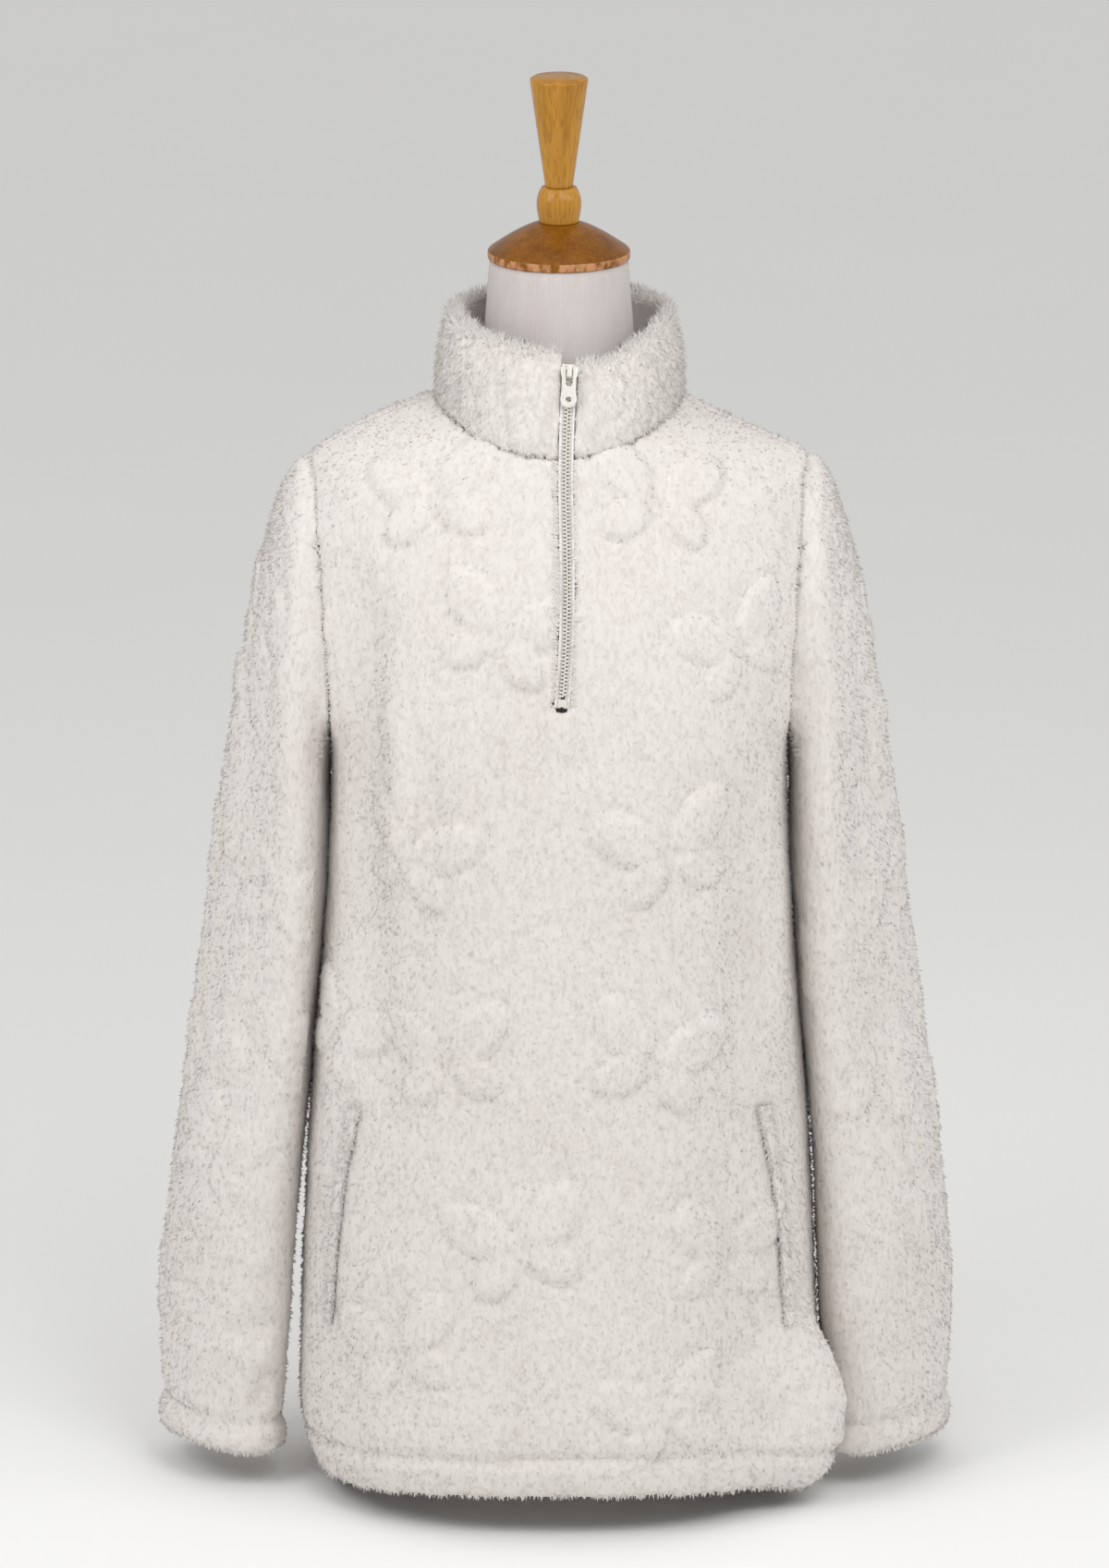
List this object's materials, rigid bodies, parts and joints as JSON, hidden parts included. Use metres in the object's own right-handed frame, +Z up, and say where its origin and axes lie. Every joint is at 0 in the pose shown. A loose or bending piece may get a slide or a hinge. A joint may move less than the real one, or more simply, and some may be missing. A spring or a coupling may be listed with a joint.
{
  "type": "sherpa fleece pullover on a dress form",
  "caption": "Quarter-zip pullover in off-white sherpa fleece with embossed butterflies, long hanging sleeves and a stand collar, worn by a limbless dress form with a turned wooden handle",
  "frame": {"origin": "on the ground under the middle of the form's neck, on the foot plate's flat underside", "axes": "+Z up, the front faces -Y, the wearer's left is +X"},
  "size_m": [0.5553, 0.2945, 0.9881],
  "materials": {
    "fleece": "off-white sherpa fleece, dense soft pile",
    "zip_tape": "cream woven tape",
    "zip_plastic": "cream moulded plastic, semi-gloss",
    "jersey": "pale greyish fine rib jersey",
    "varnished_wood": "honey varnish, worn at the rims"
  },
  "bodies": {
    "garment": {"front_panel": "fleece", "back_panel": "fleece", "sleeve_left": "fleece", "sleeve_right": "fleece", "collar": "fleece", "pocket_edge_left": "fleece", "pocket_edge_right": "fleece", "zip_tape_left": "zip_tape", "zip_tape_right": "zip_tape", "zip_chain": "zip_plastic", "zip_bottom_stop": "zip_plastic", "zip_slider": "zip_plastic", "form_torso": "jersey", "form_base": "varnished_wood", "neck_cap": "varnished_wood", "finial_bead": "varnished_wood", "finial_handle": "varnished_wood"},
    "pull_tab": {"zip_pull": "zip_plastic"}
  },
  "joints": [
    {"name": "pull_tab_hinge", "type": "hinge", "parent": "garment", "child": "pull_tab", "pos_m": [0.00701, -0.0806, 0.80658], "axis": [-0.9995, 0.0125, 0.0295], "range_deg": [0, 150]}
  ]
}
